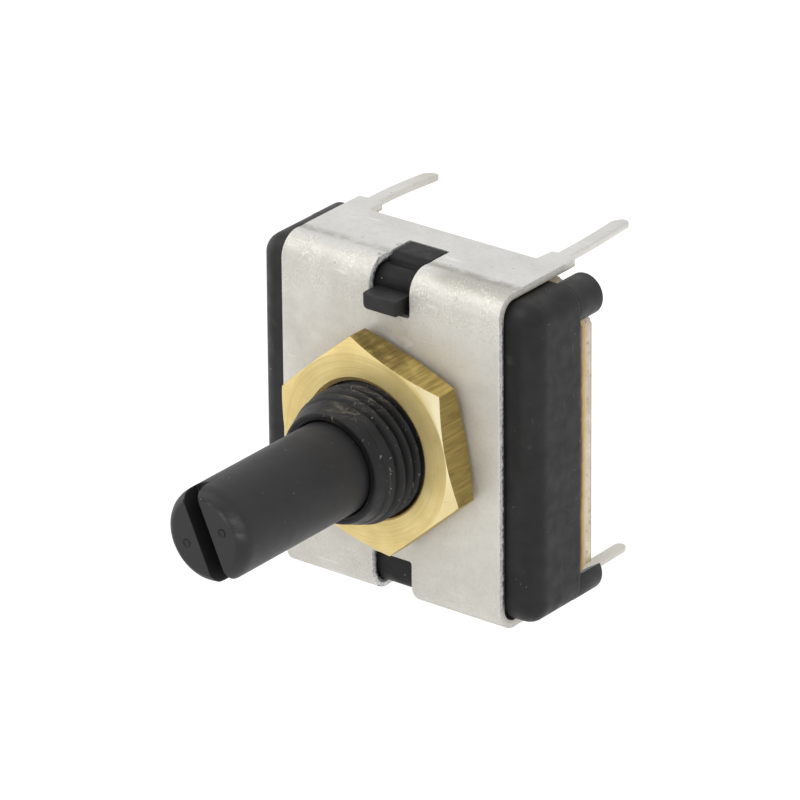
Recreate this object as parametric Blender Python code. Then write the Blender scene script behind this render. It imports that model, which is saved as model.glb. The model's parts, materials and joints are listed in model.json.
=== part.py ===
"""Panel-mount rotary encoder, standing on its lower bracket flange.

Local axes of every piece: the shaft axis is the local Y axis and points out of the panel along -Y,
y = 0 is the bracket's mounting face, +Z is up. Driving dimensions are in millimetres.
"""
import math

import bmesh
import bpy
from mathutils import Matrix, Vector

MM = 0.001
GAP = 0.05                   # clearance between pieces that touch

# Housing, moulded with the threaded bushing
CASE = 22.2                  # square side
CASE_FRONT = 0.60
CASE_REAR = 5.50
CASE_CORNER = 1.4            # corner radius of the square
CASE_EASE = 0.8              # roundness of the front edge
CAVITY_R = 9.0
CAVITY_FLOOR = 1.85
BUSHING_END = -6.35          # a quarter inch in front of the mounting face
BUSHING_CREST_R = 4.55
BUSHING_TIP_R = 3.75
BUSHING_LEAD = 2.1           # length of the tapered lead-in
BORE_R = 3.25
POST_R = 1.4
POST_PITCH = 9.68            # from the axis to a corner post, along X and along Z
POST_END = 7.90
STRIP_HALF = 1.42            # latch strip in the bracket's slot
STRIP_STEP = 2.5             # where the strip leaves the level of the flange
HOOK_HIGH = 9.92             # upper face of the hook in the upper slot
HOOK_LOW = 8.90
HOOK_NOSE = -1.0

# Bracket, pressed from sheet
SHEET = 0.55
BRACKET_HALF = 8.69          # half width
BRACKET_TOP = 11.72          # from the axis to the outer face of a flange
BEND_R = 1.60                # outer bend radius
FLANGE_REAR = 6.72
HOLE_R = 4.72
SLOT_HALF = 1.60
SLOT_LOW = 8.55
SLOT_REAR = 4.35
LEG_X = 7.64
LEG_HALF = 0.55
LEG_SHOULDER = 8.20
LEG_INNER = 6.78             # inner side of the wide part of a leg
LEG_END = 15.05

# Nut
NUT_FLATS = 13.0
NUT_HIGH = 2.60
NUT_TURN = 11.6              # degrees
NUT_CHAMFER = 0.54
NUT_REAR_CROWN = 5.5          # the rear is relieved by a lower cone
NUT_REAR_CHAMFER = 0.51

# Shaft and the rotor on it
SHAFT_R = 3.175              # a quarter inch across
SHAFT_TIP = -19.05           # three quarters of an inch from the mounting face
SHAFT_CHAMFER = 0.6
SLOT_WIDTH = 1.2
SLOT_DEEP = 1.6
SLOT_TURN = 24.0             # degrees from vertical
TENON_R = 2.10
TENON_FLAT = 1.60            # from the axis to the flat
TENON_END = 4.75
CORE_R = 1.3                 # blind hole that cores the moulded shaft from its rear end
CORE_END = -16.5
ROTOR_R = 6.90
ROTOR_FRONT = 2.55
ROTOR_REAR = 4.05
BOSS_R = 4.90
BOSS_FRONT = 2.20
DETENTS = 24
BALL_R = 0.75
BALL_PATH_R = 7.30           # from the axis to the centre of the ball at rest
BALL_ANGLE = 135.0           # degrees from +X towards +Z
BALL_Y = 3.30
STAKES = [(3.70, -2.10), (5.075, -2.10)]      # places of the two posts that hold the wiper
STAKE_HALF = 0.27
LEAF_IN = 8.10               # from the axis to the detent spring
LEAF_THICK = 0.20
LEAF_HALF = 4.0
WASHER_R = 5.0
RING_R = 2.65

# Contact board, its tracks and its terminals
SEAL_THICK = 0.17
BOARD_FRONT = 5.74
BOARD_REAR = 7.28
BOARD_HALF = 10.6
NOTCH_R = 1.48
NOTCH_EASE = 0.35            # where a notch meets an edge, the corner is cut back by this
KEY_Z = -8.75                # the board reaches down to here beside the flat post
TRACK_THICK = 0.04
TRACKS = {"common_track": (3.3, 4.1), "channel_a_track": (4.5, 5.4), "channel_b_track": (5.7, 6.6)}
CODE_TEETH = 12
TERMINAL_PITCH = 5.08
TERMINAL_Z = -8.2
TERMINAL_END = 14.5
TERMINAL_THICK = 0.5
EYE_R = 0.55

STANDING = Vector((0.0, -(SHAFT_TIP + LEG_END) / 2, BRACKET_TOP))


# ---------------------------------------------------------------- helpers

def clear_scene():
    for thing in list(bpy.data.objects):
        bpy.data.objects.remove(thing, do_unlink=True)


def material(name, colour, roughness, metallic=0.0):
    made = bpy.data.materials.new(name)
    made.use_nodes = True
    shader = made.node_tree.nodes["Principled BSDF"]
    shader.inputs["Base Color"].default_value = (*colour, 1.0)
    shader.inputs["Roughness"].default_value = roughness
    shader.inputs["Metallic"].default_value = metallic
    made.diffuse_color = (*colour, 1.0)
    return made


def from_bmesh(name, shape, finish=None):
    """A linked object from a bmesh whose coordinates are in millimetres."""
    bmesh.ops.recalc_face_normals(shape, faces=shape.faces)
    bmesh.ops.scale(shape, vec=(MM, MM, MM), verts=shape.verts)
    mesh = bpy.data.meshes.new(name)
    shape.to_mesh(mesh)
    shape.free()
    made = bpy.data.objects.new(name, mesh)
    bpy.context.scene.collection.objects.link(made)
    if finish:
        mesh.materials.append(finish)
        mesh.shade_smooth()
        mesh.set_sharp_from_angle(angle=math.radians(35))
    return made


def loft(name, loops, finish=None):
    """A closed solid through loops of equal length, with flat caps."""
    shape = bmesh.new()
    rings = [[shape.verts.new(point) for point in loop] for loop in loops]
    for one, two in zip(rings, rings[1:]):
        count = len(one)
        for i in range(count):
            j = (i + 1) % count
            shape.faces.new((one[i], one[j], two[j], two[i]))
    shape.faces.new(rings[0])
    shape.faces.new(rings[-1])
    return from_bmesh(name, shape, finish)


def prism(name, outline, axis, low, high, finish=None):
    """An outline of two coordinates, extruded along axis X, Y or Z."""
    place = {
        "X": lambda a, b, t: (t, a, b),
        "Y": lambda a, b, t: (a, t, b),
        "Z": lambda a, b, t: (a, b, t),
    }[axis]
    return loft(name, [[place(a, b, t) for a, b in outline] for t in (low, high)], finish)


def turned(name, profile, finish=None, segments=48):
    """A closed profile of (radius, y) points turned about the Y axis; a zero radius is a point on it."""
    shape = bmesh.new()
    rings = []
    for radius, y in profile:
        count = segments if radius else 1
        rings.append([
            shape.verts.new((radius * math.cos(math.tau * i / segments), y,
                             radius * math.sin(math.tau * i / segments)))
            for i in range(count)
        ])
    for one, two in zip(rings, rings[1:] + rings[:1]):
        for i in range(segments):
            j = (i + 1) % segments
            corners = [one[i % len(one)], one[j % len(one)], two[j % len(two)], two[i % len(two)]]
            corners = list(dict.fromkeys(corners))
            if len(corners) > 2:
                shape.faces.new(corners)
    return from_bmesh(name, shape, finish)


def combine(target, tool, operation):
    """Adds a Boolean; the tool stays as a hidden wire helper."""
    tool.hide_render = True
    tool.display_type = "WIRE"
    tool.parent = target
    step = target.modifiers.new(tool.name, "BOOLEAN")
    step.operation = operation
    step.object = tool
    step.solver = "EXACT"


def cut(target, tool):
    combine(target, tool, "DIFFERENCE")


def join(target, tool):
    combine(target, tool, "UNION")


def arc(centre, radius, start, end, steps):
    """Points of an arc, angles in degrees."""
    angles = [math.radians(start + (end - start) * i / steps) for i in range(steps + 1)]
    return [(centre[0] + radius * math.cos(a), centre[1] + radius * math.sin(a)) for a in angles]


def rectangle(low_a, high_a, low_b, high_b):
    return [(low_a, low_b), (high_a, low_b), (high_a, high_b), (low_a, high_b)]


def rounded_square(half, radius, steps=4):
    reach = half - radius
    centres = [(reach, reach), (-reach, reach), (-reach, -reach), (reach, -reach)]
    return [
        point
        for turn, centre in enumerate(centres)
        for point in arc(centre, radius, 90 * turn, 90 * turn + 90, steps)
    ]


def turned_by(outline, degrees):
    """The outline, turned about the origin."""
    spin = Matrix.Rotation(math.radians(degrees), 2)
    return [tuple(spin @ Vector(point)) for point in outline]


def annulus(name, inner, outer, front, rear, finish=None, segments=48):
    profile = [(inner, front), (outer, front), (outer, rear), (inner, rear)]
    return turned(name, profile, finish, segments)


# ---------------------------------------------------------------- housing

def latch_strip(name, side, low, front):
    """The plastic in a bracket slot, side +1 above and -1 below: nearly flush with the flange, then
    along the inside of the bend to a hook whose lower face is at height low; front is its nose."""
    bend = (BEND_R, BRACKET_TOP - BEND_R)
    inner = BEND_R - SHEET - GAP
    flush = BRACKET_TOP - 0.1
    outline = [(SLOT_REAR - 0.1, 10.0), (SLOT_REAR - 0.1, flush), (STRIP_STEP, flush)]
    outline += arc(bend, inner, 80, 170, 5)
    outline += [(CASE_FRONT, HOOK_HIGH), (front, HOOK_HIGH), (front, low)]
    outline += [(CASE_FRONT + 0.9, low), (CASE_FRONT + 0.9, 10.0)]
    outline = [(y, side * z) for y, z in outline]
    return prism(name, outline, "X", -STRIP_HALF, STRIP_HALF)


def detent_pocket(name, half, reach):
    """A pocket for the detent spring, beside the round cavity."""
    outline = turned_by(rectangle(4.0, reach, -half, half), BALL_ANGLE)
    return prism(name, outline, "Y", CAVITY_FLOOR + 0.1, CASE_REAR + 1)


def make_housing(finish):
    half = CASE / 2
    eases = [(CASE_FRONT, CASE_EASE), (CASE_FRONT + 0.25, 0.3), (CASE_FRONT + CASE_EASE, 0.0),
             (CASE_REAR, 0.0)]
    loops = [
        [(x, y, z) for x, z in rounded_square(half - inset, CASE_CORNER - 0.5 * inset)]
        for y, inset in eases
    ]
    housing = loft("housing", loops, finish)
    cut(housing, turned("cavity", [(0, CAVITY_FLOOR), (CAVITY_R, CAVITY_FLOOR),
                                   (CAVITY_R, CASE_REAR + 1), (0, CASE_REAR + 1)]))
    cut(housing, detent_pocket("spring_pocket", LEAF_HALF + 0.2, LEAF_IN + LEAF_THICK + 0.1))
    cut(housing, detent_pocket("spring_relief", LEAF_HALF - 1.0, LEAF_IN + LEAF_THICK + 1.1))
    for side in (-1, 1):
        low = BALL_R + GAP
        rib = turned_by(rectangle(ROTOR_R + 0.15, LEAF_IN - 0.1, side * low, side * (low + 0.8)),
                        BALL_ANGLE)
        join(housing, prism("ball_guide", rib, "Y", CAVITY_FLOOR - 0.3, BALL_Y + 0.7))
    lead = BUSHING_END + BUSHING_LEAD
    join(housing, turned("bushing", [(0, CASE_FRONT + 0.5), (BUSHING_CREST_R, CASE_FRONT + 0.5),
                                     (BUSHING_CREST_R, lead), (BUSHING_TIP_R, BUSHING_END),
                                     (0, BUSHING_END)]))
    join(housing, latch_strip("upper_latch", 1, HOOK_LOW, HOOK_NOSE))
    join(housing, latch_strip("lower_latch", -1, HOOK_LOW, SHEET))
    for x in (-POST_PITCH, POST_PITCH):
        for z in (-POST_PITCH, POST_PITCH):
            outline = arc((x, z), POST_R, 0, 345, 23)
            if x > 0 > z:
                flat = math.degrees(math.asin(0.5 / POST_R))
                outline = arc((x, z), POST_R, 180 - flat, 360 + flat, 18)
            join(housing, prism("corner_post", outline, "Y", CASE_REAR - 0.5, POST_END))
    cut(housing, turned("shaft_bore", [(0, BUSHING_END - 1), (BORE_R, BUSHING_END - 1),
                                       (BORE_R, CAVITY_FLOOR + 1), (0, CAVITY_FLOOR + 1)]))
    return housing


# ---------------------------------------------------------------- bracket and nut

def bracket_section(thickness):
    """Side view of the bent sheet, as (y, z) points: outside first, then back along the inside."""
    outer, inner = [], []
    for side in (-1, 1):
        bend = (BEND_R, side * (BRACKET_TOP - BEND_R))
        start, end = (270, 180) if side < 0 else (180, 90)
        outer += arc(bend, BEND_R, start, end, 6)
        inner += arc(bend, BEND_R - thickness, start, end, 6)
    ends = [(LEG_END + 1, BRACKET_TOP), (LEG_END + 1, BRACKET_TOP - thickness)]
    feet = [(y, -z) for y, z in reversed(ends)]
    return outer + ends + list(reversed(inner)) + feet


def bracket_plan():
    """Outline from above: the plate, and the two legs of a flange with their shoulders."""
    tip = [(LEG_X + LEG_HALF, LEG_END - 0.6), (LEG_X + LEG_HALF - 0.25, LEG_END),
           (LEG_X - LEG_HALF + 0.25, LEG_END), (LEG_X - LEG_HALF, LEG_END - 0.6)]
    right = [(BRACKET_HALF, -1), (BRACKET_HALF, LEG_SHOULDER), (LEG_X + LEG_HALF, LEG_SHOULDER)]
    right += tip
    right += [(LEG_X - LEG_HALF, LEG_SHOULDER), (LEG_INNER, LEG_SHOULDER), (LEG_INNER, FLANGE_REAR)]
    return right + [(-x, y) for x, y in reversed(right)]


def make_bracket(finish):
    bracket = prism("mounting_bracket", bracket_section(SHEET), "X", -CASE / 2, CASE / 2, finish)
    plan = prism("bracket_plan", bracket_plan(), "Z", -CASE, CASE)
    combine(bracket, plan, "INTERSECT")
    cut(bracket, annulus("bushing_hole", 0, HOLE_R, -1, 2))
    slot = rectangle(-1, SLOT_REAR, SLOT_LOW, BRACKET_TOP + 1)
    cut(bracket, prism("upper_slot", slot, "X", -SLOT_HALF, SLOT_HALF))
    slot = rectangle(-1, SLOT_REAR, -BRACKET_TOP - 1, -SLOT_LOW)
    cut(bracket, prism("lower_slot", slot, "X", -SLOT_HALF, SLOT_HALF))
    return bracket


def make_nut(finish):
    corner = NUT_FLATS / math.sqrt(3)
    hexagon = turned_by(arc((0, 0), corner, 0, 300, 5), 90 + NUT_TURN)
    rear = -GAP
    front = rear - NUT_HIGH
    nut = prism("hex_nut", hexagon, "Y", front, rear, finish)
    crown = NUT_FLATS / 2 - 0.05
    rim = corner + 0.1
    drop = NUT_CHAMFER * (rim - crown) / (corner - crown)
    rear_drop = NUT_REAR_CHAMFER * (rim - NUT_REAR_CROWN) / (corner - NUT_REAR_CROWN)
    blank = [(0, front), (crown, front), (rim, front + drop), (rim, rear - rear_drop),
             (NUT_REAR_CROWN, rear), (0, rear)]
    combine(nut, turned("nut_chamfer", blank, segments=60), "INTERSECT")
    cut(nut, annulus("nut_bore", 0, BUSHING_CREST_R + GAP, front - 1, rear + 1))
    return nut


# ---------------------------------------------------------------- shaft, rotor and detent

def tenon(radius, flat):
    """Outline of the shaft's D-shaped rear end."""
    reach = math.degrees(math.acos(flat / radius))
    return turned_by(arc((0, 0), radius, reach, 360 - reach, 24), 90)


def make_shaft(finish):
    shaft = turned("shaft", [(0, SHAFT_TIP), (SHAFT_R - SHAFT_CHAMFER, SHAFT_TIP),
                             (SHAFT_R, SHAFT_TIP + SHAFT_CHAMFER), (SHAFT_R, ROTOR_FRONT - GAP),
                             (0, ROTOR_FRONT - GAP)], finish)
    join(shaft, prism("shaft_tenon", tenon(TENON_R, TENON_FLAT), "Y", ROTOR_FRONT - 0.5, TENON_END))
    slot = turned_by(rectangle(-SLOT_WIDTH / 2, SLOT_WIDTH / 2, -5, 5), SLOT_TURN)
    cut(shaft, prism("screwdriver_slot", slot, "Y", SHAFT_TIP - 1, SHAFT_TIP + SLOT_DEEP))
    cut(shaft, annulus("shaft_core", 0, CORE_R, CORE_END, TENON_END + 1, segments=24))
    return shaft


def rotor_outline():
    """A circle with one round notch per detent; a notch faces the ball."""
    hollow = BALL_R + GAP
    pitch = 360 / DETENTS
    half_mouth = math.acos((ROTOR_R**2 + BALL_PATH_R**2 - hollow**2) / (2 * ROTOR_R * BALL_PATH_R))
    mouth = Vector((ROTOR_R * math.cos(half_mouth) - BALL_PATH_R, ROTOR_R * math.sin(half_mouth)))
    lip = math.degrees(math.atan2(mouth.y, mouth.x))
    notch = arc((BALL_PATH_R, 0), hollow, 360 - lip, lip, 4)
    return [point for i in range(DETENTS) for point in turned_by(notch, BALL_ANGLE + pitch * i)]


def make_rotor(finish):
    rotor = prism("rotor", rotor_outline(), "Y", ROTOR_FRONT, ROTOR_REAR, finish)
    join(rotor, turned("rotor_boss", [(0, BOSS_FRONT), (BOSS_R, BOSS_FRONT), (BOSS_R, 3.2),
                                      (0, 3.2)]))
    cut(rotor, annulus("boss_recess", 0, SHAFT_R + GAP, BOSS_FRONT - 1, ROTOR_FRONT))
    cut(rotor, prism("tenon_hole", tenon(TENON_R + GAP, TENON_FLAT + GAP), "Y", 1, 6))
    for x, z in STAKES:
        levels = [(3.5, STAKE_HALF), (4.30, STAKE_HALF), (4.30, 0.46), (4.50, 0.36)]
        loops = [
            [(x + a, y, z + b) for a, b in rectangle(-half, half, -half, half)]
            for y, half in levels
        ]
        join(rotor, loft("wiper_stake", loops))
    return rotor


def make_wiper(finish):
    """A comb of three fingers, one per track, that rise from the rotor to the board."""
    across = [2.72, 3.22, 3.35, 4.05, 4.18, 4.68, 4.73, 5.42, 5.49, 5.99, 6.2]
    fingers = [0, 4, 8]
    holes = [2, 6]
    along = [-2.9, -2.45, -1.75, -1.2, -0.5, 0.2, 0.9, 1.6, 2.0, 2.4]
    root, tip = 3, 8
    thick = 0.12
    rise = BOARD_FRONT - TRACK_THICK - 0.03 - GAP - thick - (ROTOR_REAR + GAP)

    def height(z):
        share = (z - along[root]) / (along[tip] - along[root])
        return ROTOR_REAR + GAP + rise * min(max(share, 0.0), 1.0)

    shape = bmesh.new()
    sheets = [
        [[shape.verts.new((x, height(z) + lift, z)) for z in along] for x in across]
        for lift in (0.0, thick)
    ]
    cells = {
        (i, j)
        for i in range(len(across) - 1)
        for j in range(len(along) - 1)
        if (i in fingers if j >= root else not (i in holes and j == 1))
    }
    for i, j in cells:
        for sheet in sheets:
            shape.faces.new((sheet[i][j], sheet[i + 1][j], sheet[i + 1][j + 1], sheet[i][j + 1]))
        edges = {(i - 1, j): ((i, j), (i, j + 1)), (i + 1, j): ((i + 1, j), (i + 1, j + 1)),
                 (i, j - 1): ((i, j), (i + 1, j)), (i, j + 1): ((i, j + 1), (i + 1, j + 1))}
        for neighbour, ((a, b), (c, d)) in edges.items():
            if neighbour not in cells:
                low, high = sheets
                shape.faces.new((low[a][b], low[c][d], high[c][d], high[a][b]))
    spare = [vert for vert in shape.verts if not vert.link_faces]
    bmesh.ops.delete(shape, geom=spare, context="VERTS")
    return from_bmesh("contact_wiper", shape, finish)


def make_detent(ball_finish, spring_finish):
    strip = rectangle(LEAF_IN, LEAF_IN + LEAF_THICK, -LEAF_HALF, LEAF_HALF)
    spring = prism("detent_spring", turned_by(strip, BALL_ANGLE), "Y", 2.2, 4.4, spring_finish)
    shape = bmesh.new()
    bmesh.ops.create_icosphere(shape, subdivisions=2, radius=BALL_R)
    ball = from_bmesh("detent_ball", shape, ball_finish)
    angle = math.radians(BALL_ANGLE)
    ball.location = MM * Vector((BALL_PATH_R * math.cos(angle), BALL_Y, BALL_PATH_R * math.sin(angle)))
    return spring, ball


# ---------------------------------------------------------------- board

def board_outline(half):
    """A square with a round notch at each corner for a post; beside the flat post the notch is square."""
    reach = math.degrees(math.acos((half - POST_PITCH) / NOTCH_R))
    ease = math.degrees(NOTCH_EASE / NOTCH_R)
    start = POST_PITCH - NOTCH_R * math.sin(math.radians(reach)) - NOTCH_EASE
    notch = [(start, half)]
    notch += reversed(arc((POST_PITCH, POST_PITCH), NOTCH_R, 360 - reach - ease, 90 + reach + ease, 8))
    notch += [(half, start)]
    outline = []
    for turn in range(4):
        if turn == 1:
            outline += [(half, KEY_Z), (POST_PITCH - NOTCH_R, KEY_Z), (POST_PITCH - NOTCH_R, -half)]
        else:
            outline += turned_by(notch, -90 * turn)
    return outline


def make_board(finish):
    board = prism("circuit_board", board_outline(BOARD_HALF), "Y", BOARD_FRONT, BOARD_REAR, finish)
    for i in (-1, 0, 1):
        hole = annulus("rivet_hole", 0, EYE_R + GAP, BOARD_FRONT - 1, BOARD_REAR + 1, segments=20)
        sink = annulus("rivet_sink", 0, 0.95, BOARD_FRONT - 1, BOARD_FRONT + 0.35, segments=20)
        for tool in (hole, sink):
            tool.location = MM * Vector((i * TERMINAL_PITCH, 0, TERMINAL_Z))
            cut(board, tool)
    return board


def make_seal(finish):
    seal = prism("adhesive_seal", board_outline(BOARD_HALF + 0.08), "Y", CASE_REAR + 0.03,
                 CASE_REAR + 0.03 + SEAL_THICK, finish)
    window = rectangle(-4.5, 10.0, -4.5, 4.5)
    cut(seal, annulus("seal_opening", 0, CAVITY_R + 0.2, 0, 10))
    cut(seal, prism("seal_window", turned_by(window, BALL_ANGLE), "Y", 0, 10))
    cut(seal, prism("seal_terminal_gap", rectangle(-6.4, 6.4, -9.5, -5), "Y", 0, 10))
    return seal


def make_track(name, inner, outer, phase, finish):
    """A flat printed ring; with a phase, its outer part is cut into code teeth."""
    rear = BOARD_FRONT - 0.03
    if phase is None:
        return annulus(name, inner, outer, rear - TRACK_THICK, rear, finish)
    band = inner + 0.3
    pitch = 360 / CODE_TEETH
    outline = []
    for i in range(CODE_TEETH):
        start = phase + pitch * i
        outline += arc((0, 0), outer, start, start + pitch / 2, 4)
        outline += arc((0, 0), band, start + pitch / 2, start + pitch, 4)
    track = prism(name, outline, "Y", rear - TRACK_THICK, rear, finish)
    cut(track, annulus(name + "_opening", 0, inner, 0, 10))
    return track


def make_terminal(name, x, finish):
    """A pin that leaves the board at a right angle to its eyelet tab."""
    front = BOARD_REAR + GAP
    thick = TERMINAL_THICK
    fold = [(front, TERMINAL_Z + 1.1), (front + thick, TERMINAL_Z + 1.1),
            (front + thick, TERMINAL_Z - 1.3 + thick), (TERMINAL_END, TERMINAL_Z - 1.3 + thick),
            (TERMINAL_END, TERMINAL_Z - 1.3), (front, TERMINAL_Z - 1.3)]
    terminal = prism(name, fold, "X", -1.1, 1.1, finish)
    narrow = [(-1.1, front - 1), (1.1, front - 1), (1.1, front + 1.1), (0.5, front + 1.6),
              (0.5, TERMINAL_END - 0.5), (0.25, TERMINAL_END), (-0.25, TERMINAL_END),
              (-0.5, TERMINAL_END - 0.5), (-0.5, front + 1.6), (-1.1, front + 1.1)]
    combine(terminal, prism(name + "_plan", narrow, "Z", -20, 0), "INTERSECT")
    eye = annulus(name + "_eye", 0, EYE_R + GAP, 0, 10, segments=20)
    eye.location.z = MM * TERMINAL_Z
    cut(terminal, eye)
    terminal.location.x = MM * x
    return terminal


def make_rivet(name, x, finish):
    head = BOARD_FRONT + 0.05
    rear = BOARD_REAR + GAP + TERMINAL_THICK + GAP
    profile = [(0, head), (0.85, head), (0.85, BOARD_FRONT + 0.30), (EYE_R, BOARD_FRONT + 0.30),
               (EYE_R, rear), (0.9, rear), (0.8, rear + 0.25), (0, rear + 0.25)]
    rivet = turned(name, profile, finish, segments=20)
    rivet.location = MM * Vector((x, 0, TERMINAL_Z))
    return rivet


# ---------------------------------------------------------------- assembly

def main():
    clear_scene()
    black = material("black_plastic", (0.040, 0.038, 0.040), 0.62)
    nylon = material("natural_nylon", (0.72, 0.70, 0.62), 0.55)
    tin = material("tinned_steel", (0.62, 0.59, 0.55), 0.42, 1.0)
    brass = material("brass", (0.62, 0.48, 0.22), 0.38, 1.0)
    steel = material("spring_steel", (0.45, 0.45, 0.46), 0.30, 1.0)
    bronze = material("phosphor_bronze", (0.66, 0.42, 0.25), 0.32, 1.0)
    ceramic = material("ivory_ceramic", (0.70, 0.64, 0.55), 0.55)
    amber = material("amber_adhesive", (0.42, 0.22, 0.06), 0.35)
    carbon = material("carbon_print", (0.02, 0.02, 0.02), 0.5)
    silver = material("silver_print", (0.60, 0.60, 0.58), 0.45, 1.0)

    pieces = [
        make_housing(black),
        make_bracket(tin),
        make_nut(brass),
        make_shaft(black),
        make_rotor(nylon),
        make_wiper(bronze),
        annulus("retaining_ring", TENON_R + GAP, RING_R, ROTOR_REAR + GAP, ROTOR_REAR + 0.30, steel),
        annulus("thrust_washer", SHAFT_R + 0.1, WASHER_R, CAVITY_FLOOR + GAP, BOSS_FRONT - GAP, steel),
        *make_detent(steel, steel),
        make_seal(amber),
        make_board(ceramic),
    ]
    pitch = 360 / CODE_TEETH
    phases = {"common_track": None, "channel_a_track": 0.0, "channel_b_track": pitch / 4}
    for name, (inner, outer) in TRACKS.items():
        print_finish = silver if phases[name] is None else carbon
        pieces.append(make_track(name, inner, outer, phases[name], print_finish))
    for name, i in (("channel_a", -1), ("common", 0), ("channel_b", 1)):
        pieces.append(make_terminal(name + "_terminal", i * TERMINAL_PITCH, tin))
        pieces.append(make_rivet(name + "_rivet", i * TERMINAL_PITCH, tin))

    axis = bpy.data.objects.new("shaft_axis", None)
    bpy.context.scene.collection.objects.link(axis)
    axis.location = MM * STANDING
    for piece in pieces:
        piece.parent = axis


main()
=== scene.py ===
"""Looks of a panel-mount rotary encoder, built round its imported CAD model.

Shapes are in millimetres about the part's own axes: the shaft axis is the local Y axis and points
out of the panel along -Y, y = 0 is the bracket's mounting face, and +Z is up.
"""
import json
import math

import bmesh
import bpy
from mathutils import Matrix, Vector


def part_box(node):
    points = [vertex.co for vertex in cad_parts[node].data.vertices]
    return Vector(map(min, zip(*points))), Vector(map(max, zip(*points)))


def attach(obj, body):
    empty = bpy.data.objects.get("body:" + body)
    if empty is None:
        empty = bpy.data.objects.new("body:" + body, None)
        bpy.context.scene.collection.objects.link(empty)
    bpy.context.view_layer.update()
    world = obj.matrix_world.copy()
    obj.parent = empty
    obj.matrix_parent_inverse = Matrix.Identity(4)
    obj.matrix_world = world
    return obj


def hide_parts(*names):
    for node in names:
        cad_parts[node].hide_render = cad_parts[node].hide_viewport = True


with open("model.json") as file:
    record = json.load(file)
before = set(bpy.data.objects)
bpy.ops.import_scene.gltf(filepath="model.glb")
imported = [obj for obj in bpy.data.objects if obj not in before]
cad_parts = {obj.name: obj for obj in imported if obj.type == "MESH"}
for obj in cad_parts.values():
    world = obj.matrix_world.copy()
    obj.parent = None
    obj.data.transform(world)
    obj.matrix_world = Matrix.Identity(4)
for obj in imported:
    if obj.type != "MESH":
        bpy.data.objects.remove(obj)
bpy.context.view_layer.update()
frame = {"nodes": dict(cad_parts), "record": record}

MM = 0.001
SHAFT_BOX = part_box("shaft")
AXIS = Vector((
    (SHAFT_BOX[0].x + SHAFT_BOX[1].x) / 2,
    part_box("mounting_bracket")[0].y,
    (SHAFT_BOX[0].z + SHAFT_BOX[1].z) / 2,
))
BODIES = frame["record"]["behaviour"]["bodies"]
BODY = {node: body for body, nodes in BODIES.items() for node in nodes}

# Housing
CASE_HALF = 11.10
CASE_FRONT = 0.60
CASE_REAR = 5.50
CASE_CORNER = 1.40
CASE_FILLET = 1.30           # round front edge
CASE_CROWN = 0.03            # how far the middle of a side stands out
SIDE_STEPS = 26
CORNER_STEPS = 8
CAVITY_R = 9.0
CAVITY_FLOOR = 1.85
BORE_R = 3.25
BUSHING_END = -6.35
TIP_R = 3.75
LEAD = 2.1                    # length of the cone that leads into the thread
CREST_R = 4.55
THREAD_DEEP = 0.58
PITCH = 25.4 / 32             # of a 3/8-32 thread
THREAD_REAR = -0.4
POST_R = 1.40
POST_PITCH = 9.68
POST_END = 7.90
HOOK_LEFT = -1.45
HOOK_RIGHT = 1.32
HOOK_LOW = 8.90
HOOK_HIGH = 9.95
HOOK_NOSE = -1.0
STRIP_HALF = 1.46

# Bracket
SHEET = 0.55
BRACKET_HALF = 8.69
BRACKET_TOP = 11.72
BEND_R = 1.60
FLANGE_REAR = 6.72
HOLE_R = 4.72
SLOT_HALF = 1.60
SLOT_LOW = 8.55
SLOT_REAR = 4.35
LEG_X = 7.64
LEG_HALF = 0.55
LEG_SHOULDER = 8.20
LEG_INNER = 6.78
LEG_ROUND = 0.16
LEG_END = 15.05

# Nut
NUT_FLATS = 13.0
NUT_REAR = -0.05
NUT_FRONT = -2.67
NUT_REAR_CROWN = 5.5          # the rear is relieved by a lower cone
NUT_REAR_SLOPE = 0.258
NUT_TURN = 11.6               # degrees
NUT_CROWN = 6.46              # radius where the front chamfer starts
NUT_SLOPE = math.tan(math.radians(27))
NUT_FILLET = 0.16             # of the edges between its flats
NUT_BORE = 4.60
NUT_LIFT = 0.09               # the countersink is a little off centre

# Shaft
SHAFT_R = 3.175
SHAFT_TIP = -19.05
SHAFT_CHAMFER = 0.6
SLOT_WIDTH = 1.2
SLOT_DEEP = 1.6
SLOT_TURN = 24.0              # degrees
TENON_R = 2.10
TENON_OPEN = 40.4             # half the angle that the tenon's flat takes up
TENON_END = 4.75
CORE_R = 1.3                  # blind hole from the rear
CORE_END = -16.5
MARK_PLACE = 1.55             # ejector marks in the end, each side of the slot
MARK_R = 0.25

# Contact board
BEAD_REAR = 6.75
BOARD_FRONT = 5.74
BOARD_REAR = 7.33
BOARD_HALF = 10.6
NOTCH_R = 1.48                # notches that pass the posts
KEY_Z = -8.75                 # top of the square notch beside the flat post
PIN_PITCH = 5.08
PIN_Z = -8.2
PIN_HOLE_R = 0.60
RIVET_HEAD_R = 0.95

# Camera: angles in degrees, the rest in millimetres
CAMERA_AZIMUTH, CAMERA_ELEVATION, CAMERA_ROLL = 37.594, 24.370, -0.521
CAMERA_AIM = (-0.072, 1.142, 2.05)
CAMERA_DISTANCE = 482.15
CAMERA_LENS = 339.17


# ---------------------------------------------------------------- shapes

def rings_to_mesh(rings, closed=False):
    """Faces between rings of equal length: capped at both ends, or closed on itself like a tyre."""
    shape = bmesh.new()
    made = [[shape.verts.new(point) for point in ring] for ring in rings]
    pairs = list(zip(made, made[1:]))
    if closed:
        pairs.append((made[-1], made[0]))
    else:
        shape.faces.new(made[0])
        shape.faces.new(made[-1])
    count = len(made[0])
    for one, two in pairs:
        for i in range(count):
            j = (i + 1) % count
            shape.faces.new((one[i], one[j], two[j], two[i]))
    bmesh.ops.recalc_face_normals(shape, faces=shape.faces)
    return shape


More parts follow.
